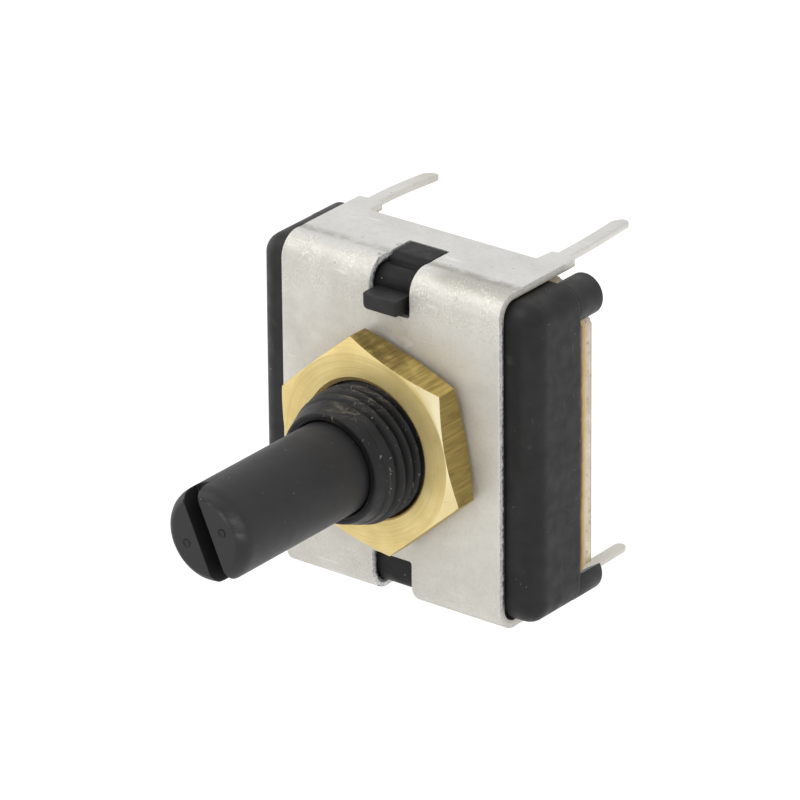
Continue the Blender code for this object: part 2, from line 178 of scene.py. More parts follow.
def prism(outline, axis, low, high):
    """An outline of two coordinates, extruded along axis X, Y or Z."""
    place = {
        "X": lambda a, b, t: (t, a, b),
        "Y": lambda a, b, t: (a, t, b),
        "Z": lambda a, b, t: (a, b, t),
    }[axis]
    return rings_to_mesh([[place(a, b, t) for a, b in outline] for t in (low, high)])


def lathe(profile, segments=128):
    """Rings about the Y axis through (radius, y) points; the ends are capped."""
    return rings_to_mesh([circle(radius, y, segments) for radius, y in profile])


def circle(radius, y, segments=128):
    step = math.tau / segments
    return [(radius * math.cos(step * i), y, radius * math.sin(step * i)) for i in range(segments)]


def arc(centre, radius, start, end, steps):
    """Points of an arc, angles in degrees."""
    angles = [math.radians(start + (end - start) * i / steps) for i in range(steps + 1)]
    return [(centre[0] + radius * math.cos(a), centre[1] + radius * math.sin(a)) for a in angles]


def eased(outline, radius, steps=4):
    """The outline with every corner rounded; radius may be one number or one for each corner."""
    count = len(outline)
    radii = [radius] * count if isinstance(radius, (int, float)) else radius
    made = []
    for i, corner in enumerate(outline):
        here = Vector(corner)
        back = Vector(outline[i - 1]) - here
        ahead = Vector(outline[(i + 1) % count]) - here
        angle = back.angle(ahead)
        if radii[i] <= 0 or angle > math.pi - 0.02:
            made.append(tuple(here))
            continue
        reach = min(radii[i] / math.tan(angle / 2), 0.49 * back.length, 0.49 * ahead.length)
        start = here + back.normalized() * reach
        end = here + ahead.normalized() * reach
        for k in range(steps + 1):
            t = k / steps
            made.append(tuple((1 - t) ** 2 * start + 2 * t * (1 - t) * here + t * t * end))
    return made


def turned_by(outline, degrees):
    spin = Matrix.Rotation(math.radians(degrees), 2)
    return [tuple(spin @ Vector(point)) for point in outline]


def smooth(value, low, high):
    """0 below low and 1 above high, with a soft start and end."""
    t = min(max((value - low) / (high - low), 0.0), 1.0)
    return t * t * (3 - 2 * t)


def as_object(name, shape):
    mesh = bpy.data.meshes.new(name)
    shape.to_mesh(mesh)
    shape.free()
    made = bpy.data.objects.new(name, mesh)
    bpy.context.scene.collection.objects.link(made)
    return made


def carved(base, *steps):
    """A shape after Booleans, given as pairs of operation and tool shape."""
    target = as_object("carving", base)
    tools = []
    for operation, tool in steps:
        tools.append(as_object("tool", tool))
        step = target.modifiers.new("cut", "BOOLEAN")
        step.operation = operation
        step.object = tools[-1]
        step.solver = "EXACT"
    depsgraph = bpy.context.evaluated_depsgraph_get()
    mesh = bpy.data.meshes.new_from_object(target.evaluated_get(depsgraph))
    shape = bmesh.new()
    shape.from_mesh(mesh)
    for thing in (target, *tools):
        bpy.data.meshes.remove(thing.data)
    bpy.data.meshes.remove(mesh)
    return shape


def piece(name, node, shape, finish, bevel=0.0, segments=2, sharp=35.0, limit=30.0):
    """A finished piece from a shape in millimetres, in place of a CAD node and on its body."""
    bmesh.ops.scale(shape, vec=(MM, MM, MM), verts=shape.verts)
    made = as_object(name, shape)
    made.location = AXIS
    made.data.materials.append(finish)
    made.data.shade_smooth()
    if bevel:
        soften(made, bevel, segments, limit)
    else:
        made.data.set_sharp_from_angle(angle=math.radians(sharp))
        made.modifiers.new("normals", "WEIGHTED_NORMAL").keep_sharp = True
    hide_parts(node)
    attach(made, BODY[node])
    return made


def soften(thing, bevel, segments=2, limit=30.0):
    """Rounds the sharp edges of an object."""
    step = thing.modifiers.new("soft_edges", "BEVEL")
    step.width = bevel * MM
    step.segments = segments
    step.limit_method = "ANGLE"
    step.angle_limit = math.radians(limit)
    step.use_clamp_overlap = False
    step.harden_normals = False
    thing.modifiers.new("normals", "WEIGHTED_NORMAL").keep_sharp = False


# ---------------------------------------------------------------- materials

class Finish:
    """A material built from nodes; lengths in its textures are in millimetres."""

    def __init__(self, name, colour, roughness, metallic=0.0, specular=0.5):
        self.material = bpy.data.materials.new(name)
        self.material.use_nodes = True
        self.material.diffuse_color = (*colour, 1.0)
        self.tree = self.material.node_tree
        self.shader = self.tree.nodes["Principled BSDF"]
        self.set(**{"Base Color": (*colour, 1.0), "Roughness": roughness, "Metallic": metallic,
                    "Specular IOR Level": specular})
        where = self.add("TexCoord", output="Object")
        self.place = self.add("VectorMath", {0: where, 1: (1 / MM,) * 3}, operation="MULTIPLY")
        self.x, self.y, self.z = self.parts_of(self.place)

    def add(self, kind, inputs=None, output=0, **settings):
        made = self.tree.nodes.new("ShaderNode" + kind)
        for key, value in settings.items():
            setattr(made, key, value)
        for key, value in (inputs or {}).items():
            self.feed(value, made.inputs[key])
        return made.outputs[output]

    def feed(self, value, socket):
        if isinstance(value, bpy.types.NodeSocket):
            self.tree.links.new(value, socket)
        else:
            socket.default_value = value

    def set(self, **inputs):
        for key, value in inputs.items():
            self.feed(value, self.shader.inputs[key])

    def tone(self):
        """The colour that the shader has so far."""
        return self.shader.inputs["Base Color"].links[0].from_socket

    def parts_of(self, vector):
        axes = self.tree.nodes.new("ShaderNodeSeparateXYZ")
        self.tree.links.new(vector, axes.inputs[0])
        return axes.outputs

    def facing(self):
        """The X, Y and Z parts of the surface's direction."""
        return self.parts_of(self.add("TexCoord", output="Normal"))

    def math(self, operation, one, two=0.0):
        return self.add("Math", {0: one, 1: two}, operation=operation)

    def absolute(self, value):
        return self.math("ABSOLUTE", value)

    def largest(self, one, two):
        return self.math("MAXIMUM", one, two)

    def distance(self, one, two):
        return self.math("SQRT", self.math("ADD", self.times(one, one), self.times(two, two)))

    def stretched(self, stretch, turn=(0.0, 0.0, 0.0)):
        """The place, turned by angles in degrees and then stretched."""
        angles = [math.radians(a) for a in turn]
        return self.add("Mapping", {"Vector": self.place, "Rotation": angles, "Scale": stretch},
                        vector_type="POINT")

    def noise(self, scale, detail=2.0, place=None, rough=0.5):
        """Soft noise about 1/scale millimetres in size."""
        return self.add("TexNoise", {"Vector": place or self.place, "Scale": scale,
                                     "Detail": detail, "Roughness": rough})

    def ramp(self, value, low, high, start=0.0, end=1.0):
        return self.add("MapRange", {0: value, 1: low, 2: high, 3: start, 4: end},
                        interpolation_type="SMOOTHSTEP")

    def band(self, value, centre, width, edge):
        """1 within width of centre, falling to 0 over edge."""
        off = self.absolute(self.math("SUBTRACT", value, centre))
        return self.ramp(off, width, width + edge, 1.0, 0.0)

    def times(self, one, two):
        return self.math("MULTIPLY", one, two)

    def mix(self, share, one, two):
        def colour(value):
            return (*value, 1.0) if isinstance(value, tuple) else value
        return self.add("Mix", {0: share, 6: colour(one), 7: colour(two)}, output=2,
                        data_type="RGBA")

    def bump(self, *heights):
        """Bumps, given as pairs of height output and depth in millimetres."""
        normal = None
        for height, depth in heights:
            inputs = {"Height": height, "Distance": depth * MM, "Strength": 1.0}
            if normal:
                inputs["Normal"] = normal
            normal = self.add("Bump", inputs)
        self.set(Normal=normal)


def black_plastic(name, grain=9.0, depth=0.004, roughness=0.5, scuffs=0.0, specular=0.36,
                  uneven=0.012, vary=0.07):
    """Matt black moulding with a fine grain, dust and a few light scuffs."""
    made = Finish(name, (0.008, 0.0076, 0.0082), roughness, specular=specular)
    cloud = made.ramp(made.noise(0.45, 3.0), 0.35, 0.7)
    tone = made.mix(cloud, (0.0060, 0.0055, 0.0056), (0.0112, 0.0105, 0.0108))
    dust = made.times(made.ramp(made.noise(5.5, 1.0), 0.765, 0.80),
                      made.ramp(made.noise(0.7, 1.0), 0.45, 0.6))
    tone = made.mix(made.times(dust, 0.8), tone, (0.42, 0.40, 0.36))
    if scuffs:
        strokes = made.noise(1.0, 3.0, made.stretched((0.35, 5.0, 0.6), (20, 35, 15)))
        where = made.ramp(made.noise(0.5, 2.0), 0.5, 0.62)
        worn = made.times(made.times(made.ramp(strokes, 0.62, 0.70), where), scuffs)
        tone = made.mix(worn, tone, (0.10, 0.098, 0.095))
    made.set(**{"Base Color": tone,
                "Roughness": made.ramp(made.noise(1.2, 4.0), 0.3, 0.7, roughness - vary,
                                       roughness + vary)})
    made.bump((made.noise(grain, 3.0), depth), (made.noise(0.6, 2.0), uneven))
    return made


def small_plastic():
    """The posts and the hook: as the case, with painted light from above making them a little paler
    where they face up.
    """
    made = black_plastic("small_plastic", grain=7.0, depth=0.006, specular=0.42)
    # Painted light: faces that point up are lightened, as if lit from above.
    painted_top_light = made.ramp(made.facing()["Z"], 0.45, 0.95, 0.0, 0.6)
    made.set(**{"Base Color": made.mix(painted_top_light, made.tone(), (0.019, 0.018, 0.018))})
    return made


def shaft_plastic():
    """The shaft's plastic: smoother and cooler, with a few rubbed spots on the rim of its end."""
    made = black_plastic("shaft_plastic", grain=10.0, depth=0.003, specular=0.42, uneven=0.0,
                         vary=0.02)
    tone = made.mix(0.5, made.tone(), (0.0125, 0.0122, 0.0150))
    radius = made.distance(made.x, made.z)
    end = made.ramp(made.y, SHAFT_TIP + 0.8, SHAFT_TIP + 0.25)
    toward = made.math("ADD", made.x, made.times(made.z, 0.62))
    thin = made.times(made.band(radius, 2.45, 0.05, 0.16), made.ramp(toward, 1.5, 2.2))
    thin = made.times(thin, made.ramp(made.z, 1.2, 1.9))
    rubbed = made.noise(1.0, 4.0, made.stretched((1.0, 3.0, 1.8), (0, 30, 0)), 0.6)
    rubbed = made.ramp(rubbed, 0.38, 0.62)
    spot = made.times(made.band(radius, 2.92, 0.10, 0.34), made.band(made.z, 1.30, 0.35, 0.85))
    spot = made.times(spot, made.ramp(made.x, 1.5, 2.0))
    strokes = made.noise(1.0, 5.0, made.stretched((1.2, 1.2, 3.2), (0, 35, 0)), 0.6)
    strokes = made.ramp(strokes, 0.18, 0.78)
    smear = made.largest(made.times(made.times(thin, rubbed), 0.30),
                      made.times(made.times(spot, strokes), 0.50))
    made.set(**{"Base Color": made.mix(made.times(smear, end), tone, (0.12, 0.118, 0.122))})
    return made


def thread_plastic():
    """The bushing's plastic: as the case, with pale wear on the thread's crests and painted shade
    in its roots.
    """
    made = black_plastic("case_plastic", scuffs=0.25, specular=0.32)
    tone = made.tone()
    radius = made.distance(made.x, made.z)
    crest = made.times(made.ramp(radius, CREST_R - 0.10, CREST_R - 0.01),
                       made.ramp(radius, 5.0, 5.1, 1.0, 0.0))
    chips = made.ramp(made.noise(2.4, 4.0, rough=0.7), 0.56, 0.66)
    nicks = made.noise(1.0, 2.0, made.stretched((6.0, 1.2, 2.0), (0, 30, 20)))
    nicks = made.ramp(nicks, 0.70, 0.74)
    front = made.ramp(made.y, -0.5, 0.2, 1.0, 0.0)
    top = made.times(made.ramp(made.z, 3.0, 4.1), made.band(made.x, 0.9, 0.5, 1.4))
    fibres = made.noise(1.0, 4.0, made.stretched((0.5, 3.5, 6.0), (0, 8, 10)), 0.65)
    scuffed = made.times(made.times(top, front), made.ramp(fibres, 0.46, 0.66))
    tone = made.mix(made.times(scuffed, 0.6), tone, (0.16, 0.14, 0.10))
    rings = made.add("CombineXYZ", {0: made.times(made.y, 7.0), 1: made.times(made.x, 0.2), 2: 0.0})
    turned = made.times(made.ramp(made.noise(1.0, 3.0, rings), 0.56, 0.66), front)
    tone = made.mix(made.times(turned, 0.25), tone, (0.035, 0.034, 0.034))
    # Painted shade: the thread's grooves behind the lead are darkened almost to black, as shade in
    # the roots.
    root_shade = made.times(made.ramp(radius, CREST_R - 0.16, CREST_R - 0.50),
                      made.ramp(made.y, -5.3, -5.0))
    root_shade = made.times(root_shade, front)
    tone = made.mix(made.times(root_shade, 0.8), tone, (0.001, 0.001, 0.001))
    tone = made.mix(made.times(made.times(crest, chips), 0.45), tone, (0.13, 0.125, 0.12))
    tone = made.mix(made.times(made.times(nicks, front), 0.45), tone, (0.30, 0.27, 0.22))
    made.set(**{"Base Color": tone})
    return made


def tin_plate():
    """Satin tin plate: soft blotches, mottled by the press near the bends, and fine scratches, with
    painted light
    and shade: glints on the bends, a dark band along each press mark, a cooler flange, lighter
    towards +x and darker towards the bottom.
    """
    made = Finish("tinned_steel", (0.66, 0.63, 0.58), 0.52, 0.5, specular=0.4)
    height = made.absolute(made.z)
    flange = made.ramp(height, BRACKET_TOP - 0.25, BRACKET_TOP - 0.05)
    # Painted shade: a mask that darkens the plate towards the bottom.
    low = made.ramp(made.z, -3.0, -9.0, 0.0, 0.30)
    blotch = made.ramp(made.noise(0.30, 4.0, rough=0.6), 0.3, 0.7)
    tone = made.mix(blotch, (0.565, 0.545, 0.495), (0.665, 0.645, 0.60))
    # Painted light: the plate is made lighter towards +x, to offset the shade that side gets.
    tone = made.mix(made.ramp(made.x, 0.5, 6.5, 0.0, 0.45), tone, (0.80, 0.785, 0.73))
    # Painted shade towards the bottom of the plate.
    tone = made.mix(low, tone, (0.45, 0.43, 0.38))
    # Painted reflection: the flange, facing up, gets a cooler grey than the plate, though both are
    # the same tin.
    tone = made.mix(flange, tone, made.mix(blotch, (0.59, 0.58, 0.555), (0.65, 0.645, 0.62)))
    worn = made.times(made.band(made.y, 1.3, 0.5, 0.6), made.ramp(height, 10.4, 11.0))
    worn = made.times(worn, made.ramp(made.x, 2.0, 4.0, 0.0, 0.60))
    tone = made.mix(worn, tone, (0.33, 0.315, 0.27))
    grain = made.ramp(made.noise(3.4, 4.0, rough=0.65), 0.35, 0.65, -0.5, 0.5)

    bends = made.times(made.band(height, BRACKET_TOP - 1.5, 0.9, 1.9),
                       made.ramp(made.y, 1.1, 2.0, 1.0, 0.0))
    bends = made.times(bends, made.ramp(made.noise(0.55, 3.0, rough=0.6), 0.30, 0.62))
    bends = made.times(bends, made.ramp(made.z, -8.0, -5.0, 0.5, 1.0))
    mottle = made.noise(7.0, 5.0, made.stretched((1.0, 1.0, 0.9), (0, 25, 0)), 0.75)
    tone = made.mix(made.times(made.ramp(mottle, 0.48, 0.36), made.times(bends, 0.50)), tone,
                    (0.44, 0.40, 0.31))
    # Painted glints: bright near-white specks on the mottled bends stand in for highlights.
    tone = made.mix(made.times(made.ramp(mottle, 0.50, 0.66), made.times(bends, 0.62)), tone,
                    (0.97, 0.94, 0.83))
    tone = made.mix(made.times(made.ramp(grain, 0.1, 0.5), 0.14), tone, (0.40, 0.38, 0.33))

    # Painted shade: a dark band along the shallow press mark behind each bend, for the darker
    # reflection in the dip.
    press = made.times(made.band(made.y, 2.12, 0.05, 0.55), flange)
    press = made.times(press, made.ramp(made.x, 0.0, 3.0, 0.85, 1.15))
    press = made.times(press, made.ramp(made.noise(0.9, 5.0, rough=0.7), 0.36, 0.60, 0.10, 1.0))
    tone = made.mix(made.times(press, 0.72), tone, (0.31, 0.30, 0.26))

    stains = made.times(made.ramp(made.noise(2.6, 1.0), 0.78, 0.81), 0.7)
    tone = made.mix(stains, tone, (0.20, 0.15, 0.09))
    torn = made.times(made.band(made.x, -SLOT_HALF - 0.12, 0.10, 0.25),
                      made.band(made.y, 2.4, 0.7, 0.8))
    strokes = made.noise(1.0, 3.0, made.stretched((2.2, 9.0, 2.0), (0, 0, 40)))
    strokes = made.ramp(strokes, 0.52, 0.60)
    tone = made.mix(made.times(made.times(torn, strokes), 0.75), tone, (0.16, 0.16, 0.15))

    marks = 0.0
    for turn, stretch in (((0, 62, 0), (0.25, 1.0, 9.0)), ((0, -35, 0), (0.2, 1.0, 11.0)),
                          ((10, 15, 80), (0.3, 9.0, 1.0))):
        scratches = made.ramp(made.noise(1.0, 1.0, made.stretched(stretch, turn)), 0.70, 0.74)
        marks = made.largest(scratches, marks)
    marks = made.times(marks, made.ramp(made.noise(0.35, 2.0), 0.45, 0.6))
    tone = made.mix(made.times(marks, 0.35), tone, (0.90, 0.89, 0.86))

    made.set(**{"Base Color": tone,
                "Roughness": made.ramp(made.noise(1.3, 4.0), 0.3, 0.7, 0.48, 0.60)})
    made.bump((made.noise(0.5, 3.0), 0.012), (made.noise(4.5, 3.0), 0.005),
              (made.times(mottle, bends), 0.026), (marks, -0.004))
    return made


def cut_edge():
    """The sheared edge of the sheet: a bright speckled band next to the outer face, torn and darker
    towards the inner one, whose near-black tone is partly painted shade."""
    made = Finish("sheared_steel", (0.70, 0.70, 0.69), 0.6, 0.45)
    height = made.absolute(made.z)
    up = made.largest(made.math("SUBTRACT", height, BRACKET_TOP - BEND_R), 0.0)
    back = made.largest(made.math("SUBTRACT", BEND_R, made.y), 0.0)
    depth = made.math("SUBTRACT", BEND_R, made.distance(up, back))
    ragged = made.ramp(made.noise(2.2, 4.0, rough=0.7), 0.3, 0.7, -0.08, 0.08)
    depth = made.math("ADD", depth, ragged)
    speckle = made.noise(5.0, 4.0, rough=0.75)
    tone = made.mix(made.ramp(speckle, 0.40, 0.58), (0.60, 0.61, 0.60), (0.88, 0.88, 0.87))
    plain = made.mix(made.ramp(speckle, 0.35, 0.65), (0.56, 0.55, 0.50), (0.70, 0.69, 0.64))
    outside = made.ramp(made.absolute(made.x), 4.0, 5.0)
    far = made.largest(made.ramp(made.y, 2.2, 4.5),
                    made.times(made.ramp(height, 9.4, 10.4), outside))
    # The torn zone is the fracture's own darker tone and partly painted shade: its near-black
    # stands in for the shadow in the gap beside the edge.
    torn = made.mix(made.ramp(speckle, 0.45, 0.62), (0.07, 0.07, 0.068), (0.22, 0.21, 0.19))
    torn = made.mix(far, torn, (0.52, 0.50, 0.44))
    tone = made.mix(made.ramp(depth, 0.30, 0.42), made.mix(far, tone, plain), torn)
    made.set(**{"Base Color": tone})
    made.bump((speckle, 0.02))
    return made


def nut_brass():
    """Turned brass: circular marks on the face and the chamfer, and drawn marks on the flats, with
    painted
    light and shade: a highlight on the chamfer, darker flats, dark reflections on the top flats,
    and a lit top and shaded bottom in the countersink.
    """
    made = Finish("nut_brass", (0.70, 0.57, 0.30), 0.34, 0.72, specular=0.4)
    radius = made.distance(made.x, made.z)
    around = made.add("Math", {0: made.z, 1: made.x}, operation="ARCTAN2")
    facing = made.facing()
    front = made.ramp(facing["Y"], -0.55, -0.35, 1.0, 0.0)

    rings = made.add("CombineXYZ", {0: made.times(radius, 8.0), 1: made.times(around, 1.2), 2: 3.0})
    turned = made.noise(1.0, 4.0, rings)
    lines = made.noise(1.0, 4.0, made.stretched((7.5, 0.26, 7.5)), 0.6)
    grain = made.mix(front, lines, turned)

    cloud = made.ramp(made.noise(0.5, 3.0), 0.35, 0.7)
    tone = made.mix(cloud, (0.70, 0.555, 0.235), (0.79, 0.64, 0.295))
    tone = made.mix(made.ramp(turned, 0.42, 0.62, 0.0, 0.15), tone, (0.52, 0.39, 0.15))
    # Painted highlight: the chamfer is paled where it faces +x, most at the upper corners, where it
    # catches the light.
    chamfer = made.times(made.ramp(radius, NUT_CROWN, NUT_CROWN + 0.06),
                         made.ramp(facing["X"], 0.2, 0.38))
    chamfer = made.times(chamfer, made.ramp(made.z, -2.5, 1.5, 0.25, 0.85))
    tone = made.mix(chamfer, tone, (0.95, 0.87, 0.62))
    # The flats get a darker brass than the face: partly the drawn finish, partly painted shade.
    side = made.mix(made.ramp(lines, 0.30, 0.70), (0.34, 0.245, 0.068), (0.62, 0.475, 0.160))
    drawn = made.noise(1.0, 3.0, made.stretched((1.6, 0.30, 1.6)))
    side = made.mix(made.ramp(drawn, 0.52, 0.66, 0.0, 0.5), side, (0.24, 0.17, 0.05))
    # Painted shade: flats that face +x are darkened further.
    side = made.mix(made.ramp(facing["X"], 0.60, 0.95, 0.0, 0.46), side, (0.13, 0.085, 0.02))
    # Painted reflection: dark brown patches on the top flats.
    top_flat_reflection = made.times(made.ramp(made.z, 5.0, 6.6), made.ramp(made.noise(0.9, 3.0), 0.36, 0.56))
    side = made.mix(made.times(top_flat_reflection, 0.50), side, (0.12, 0.075, 0.02))
    tone = made.mix(front, side, tone)
    stains = made.times(made.ramp(made.noise(2.2, 2.0), 0.70, 0.78), 0.4)
    tone = made.mix(stains, tone, (0.28, 0.18, 0.06))
    # Painted light and shade in the countersink: bright gold at the top as a highlight, dark brown
    # at the bottom as shade.
    bore_light_and_shade = made.times(made.ramp(radius, NUT_BORE + 0.27, NUT_BORE + 0.22), 0.75)
    tone = made.mix(bore_light_and_shade, tone, made.mix(made.ramp(made.z, 1.5, 3.5), (0.20, 0.11, 0.03),
                                         (0.92, 0.66, 0.26)))
    made.set(**{"Base Color": tone,
                "Roughness": made.ramp(grain, 0.35, 0.65, 0.46, 0.58),
                "Anisotropic": 0.3})
    made.bump((grain, 0.004), (made.noise(0.6, 2.0), 0.006))
    return made


def cream_board():
    """Fired ceramic, darker and speckled at its rear edge, with an uneven snapped side."""
    made = Finish("ivory_ceramic", (0.61, 0.53, 0.42), 0.6, specular=0.3)
    cloud = made.ramp(made.noise(0.8, 4.0), 0.35, 0.7)
    tone = made.mix(cloud, (0.54, 0.455, 0.355), (0.69, 0.605, 0.50))
    rear = made.ramp(made.math("ADD", made.y, made.times(made.noise(1.6, 4.0, rough=0.7), 0.30)),
                     BOARD_REAR - 0.07, BOARD_REAR + 0.08)
    out = made.largest(made.absolute(made.x), made.absolute(made.z))
    rear = made.times(rear, made.ramp(out, BOARD_HALF - 0.12, BOARD_HALF - 0.03))
    tone = made.mix(made.times(rear, 0.50), tone, (0.30, 0.235, 0.15))
    specks = made.times(made.ramp(made.noise(3.0, 2.0), 0.62, 0.70), 0.5)
    tone = made.mix(specks, tone, (0.20, 0.155, 0.09))
    foot = made.times(made.ramp(made.z, KEY_Z + 0.1, KEY_Z + 0.75, 1.0, 0.0),
                      made.ramp(made.x, 9.0, 10.0))
    tone = made.mix(made.times(foot, 0.6), tone, (0.22, 0.18, 0.06))
    made.set(**{"Base Color": tone})
    made.bump((made.noise(2.6, 4.0), 0.04))
    return made


def amber_adhesive():
    """Amber, dark where it is thick beside the case, and thinning out over the board."""
    made = Finish("amber_adhesive", (0.36, 0.19, 0.04), 0.5, specular=0.18)
    wave = made.ramp(made.noise(0.8, 4.0, rough=0.6), 0.3, 0.7, -0.12, 0.12)
    place = made.math("ADD", made.y, wave)
    ends = made.ramp(made.absolute(made.math("ADD", made.z, 1.0)), 4.0, 9.0)
    tone = made.mix(made.ramp(place, 5.66, 5.90), (0.10, 0.036, 0.006), (0.36, 0.20, 0.035))
    tone = made.mix(made.ramp(place, 5.94, 6.24), tone, (0.50, 0.345, 0.115))
    tone = made.mix(made.ramp(place, 6.26, BEAD_REAR - 0.04), tone, (0.60, 0.50, 0.35))
    tone = made.mix(made.times(ends, 0.30), tone, (0.33, 0.26, 0.15))
    made.set(**{"Base Color": tone})
    made.bump((made.noise(1.8, 3.0), 0.03))
    return made


def metal(name, colour, roughness, grain=3.0, stretch=(1.0, 1.0, 1.0)):
    """A worked metal with fine marks and slight tarnish."""
    made = Finish(name, colour, roughness, 1.0)
    marks = made.noise(grain, 4.0, made.stretched(stretch))
    dull = tuple(0.72 * c for c in colour)
    made.set(**{"Base Color": made.mix(made.ramp(marks, 0.4, 0.65), colour, dull),
                "Roughness": made.ramp(marks, 0.3, 0.7, roughness - 0.06, roughness + 0.08)})
    made.bump((marks, 0.003))
    return made


def moulded(name, colour, roughness):
    made = Finish(name, colour, roughness, specular=0.45)
    dark = tuple(0.85 * c for c in colour)
    made.set(**{"Base Color": made.mix(made.ramp(made.noise(0.9, 3.0), 0.35, 0.7), colour, dark)})
    made.bump((made.noise(6.0, 3.0), 0.004))
    return made


def printed(name, colour, roughness, metallic=0.0):
    """Screen-printed ink with the weave of the screen in it."""
    made = Finish(name, colour, roughness, metallic)
    weave = made.noise(8.0, 2.0)
    dark = tuple(0.7 * c for c in colour)
    made.set(**{"Base Color": made.mix(made.ramp(weave, 0.35, 0.7), colour, dark)})
    made.bump((weave, 0.004))
    return made


# ---------------------------------------------------------------- housing

def case_outline(inset):
    """A rounded square with slightly crowned sides, drawn in by inset."""
    radius = max(CASE_CORNER - inset, 0.2)
    half = CASE_HALF - inset
    reach = half - CASE_CROWN - radius
    quarter = []
    for i in range(SIDE_STEPS):
        share = -1 + 2 * i / SIDE_STEPS
        quarter.append((half - CASE_CROWN * share * share, reach * share))
    quarter += arc((reach, reach), radius, 0, 90, CORNER_STEPS)[:-1]
    return [point for turn in range(4) for point in turned_by(quarter, 90 * turn)]


def thread_radius(angle, y):
    """A right-hand thread that a cone cuts back towards the end."""
    phase = (y / PITCH + angle / math.tau) % 1.0
    off = abs(phase - 0.5) * 2
    thread = CREST_R - THREAD_DEEP * min(max((off - 0.12) / 0.78, 0.0), 1.0)
    cone = TIP_R + (y - BUSHING_END) * (CREST_R - TIP_R) / LEAD
    return min(thread, cone)


def make_housing(finish):
    outer = case_outline(0.0)
    angles = [math.atan2(z, x) for x, z in outer]

    def around(radius, y):
        return [(radius * math.cos(a), y, radius * math.sin(a)) for a in angles]

    def square(inset, y):
        return [(x, y, z) for x, z in case_outline(inset)]

    rings = []
    for k in range(9):
        a = math.radians(90 * k / 8)
        inset, rise = CASE_FILLET * (1 - math.sin(a)), CASE_FILLET * (1 - math.cos(a))
        rings.append(square(inset, CASE_FRONT + rise))
    rings += [square(0.0, y) for y in (2.1, 3.2, 4.3, 5.25, CASE_REAR - 0.06)]
    rings += [square(0.02, CASE_REAR - 0.02), square(0.06, CASE_REAR)]
    rings += [around(CAVITY_R, CASE_REAR), around(CAVITY_R, CAVITY_FLOOR)]
    rings += [around(BORE_R, CAVITY_FLOOR), around(BORE_R, BUSHING_END + 0.10)]
    rings += [around(BORE_R + 0.02, BUSHING_END + 0.02), around(BORE_R + 0.05, BUSHING_END)]
    rings += [around(radius, BUSHING_END + deep) for radius, deep in (
        (BORE_R + 0.20, 0.0), (BORE_R + 0.21, 0.05), (BORE_R + 0.27, 0.05), (BORE_R + 0.28, 0.0))]
    rings += [around(TIP_R - 0.08, BUSHING_END), around(TIP_R - 0.02, BUSHING_END + 0.02)]
    step = PITCH / 10
    rows = int((THREAD_REAR - BUSHING_END) / step)
    for i in range(1, rows):
        y = BUSHING_END + step * i
        radii = [thread_radius(a, y) for a in angles]
        rings.append([(r * math.cos(a), y, r * math.sin(a)) for r, a in zip(radii, angles)])
    rings += [around(CREST_R - 0.05, -0.3), around(CREST_R - 0.05, CASE_FRONT)]
    piece("housing_case", "housing", rings_to_mesh(rings, closed=True), finish, sharp=70)


def make_posts(finish):
    """Four posts behind the case; the one at the lower right is cut by a slanted flat."""
    for name, x, z in (("a", 1, 1), ("b", -1, 1), ("c", -1, -1), ("d", 1, -1)):
        centre = (x * POST_PITCH, z * POST_PITCH)
        if (x, z) == (1, -1):
            outline = eased(arc(centre, POST_R, 216, 391, 30), 0.10, 3)
        else:
            outline = arc(centre, POST_R, 0, 360, 40)[:-1]

        middle = Vector(centre)
        rings = []
        for inset, y in ((0.03, CASE_REAR - 0.03), (0.03, CASE_REAR + 0.02),
                         (0.0, CASE_REAR + 0.06), (0.0, POST_END - 0.07),
                         (0.02, POST_END - 0.025), (0.07, POST_END)):
            points = [(Vector(point) - middle) * (1 - inset / POST_R) + middle for point in outline]
            rings.append([(point.x, y, point.y) for point in points])
        piece("corner_post_" + name, "housing", rings_to_mesh(rings), finish, sharp=50)


def latch_section(side):
    """Side view of a latch strip as (y, z): nearly flush, then along the inside of the bend."""
    bend = (BEND_R, BRACKET_TOP - BEND_R)
    flush = BRACKET_TOP - 0.04
    outline = [(SLOT_REAR - 0.08, 10.5), (SLOT_REAR - 0.08, flush - 0.03),
               (SLOT_REAR - 0.14, flush), (2.60, flush), (2.42, flush - 0.05),
               (2.20, flush - 0.19), (2.12, flush - 0.21), (2.09, flush - 0.26),
               (2.01, flush - 0.28), (1.98, flush - 0.34)]
    outline += arc(bend, BEND_R - SHEET - 0.05, 74, 172, 12)
    outline += [(0.58, HOOK_HIGH - 0.1), (0.58, HOOK_LOW - 0.1), (1.2, HOOK_LOW - 0.1), (1.8, 10.5)]
    return [(y, side * z) for y, z in outline]


def make_latches(finish, hook_finish):
    for name, side in (("upper", 1), ("lower", -1)):
        shape = prism(latch_section(side), "X", -STRIP_HALF, STRIP_HALF)
        piece(name + "_latch_strip", "housing", shape, finish, bevel=0.03)
    rings = []
    for deep in (0.0, 0.004, 0.015, 0.035, 0.07, 0.11, 0.16, 0.22, 0.28, 1.62):
        left, right, level = (drawn_in(radius, deep) for radius in (0.28, 0.16, 0.07))
        left, right = HOOK_LEFT + left, HOOK_RIGHT - right
        low, high = HOOK_LOW + level, HOOK_HIGH - level
        outline = eased([(left, low), (right, low), (right, high), (left, high)],
                        [0.34, 0.10, 0.07, 0.10])
        rings.append([(x, HOOK_NOSE + deep, z) for x, z in outline])
    piece("latch_hook", "housing", rings_to_mesh(rings), hook_finish, sharp=60)


def drawn_in(radius, deep):
    """How far a rounded edge lies inside the full outline, at a depth behind the nose."""
    return radius - math.sqrt(radius ** 2 - (radius - deep) ** 2) if deep < radius else 0.0


# ---------------------------------------------------------------- bracket

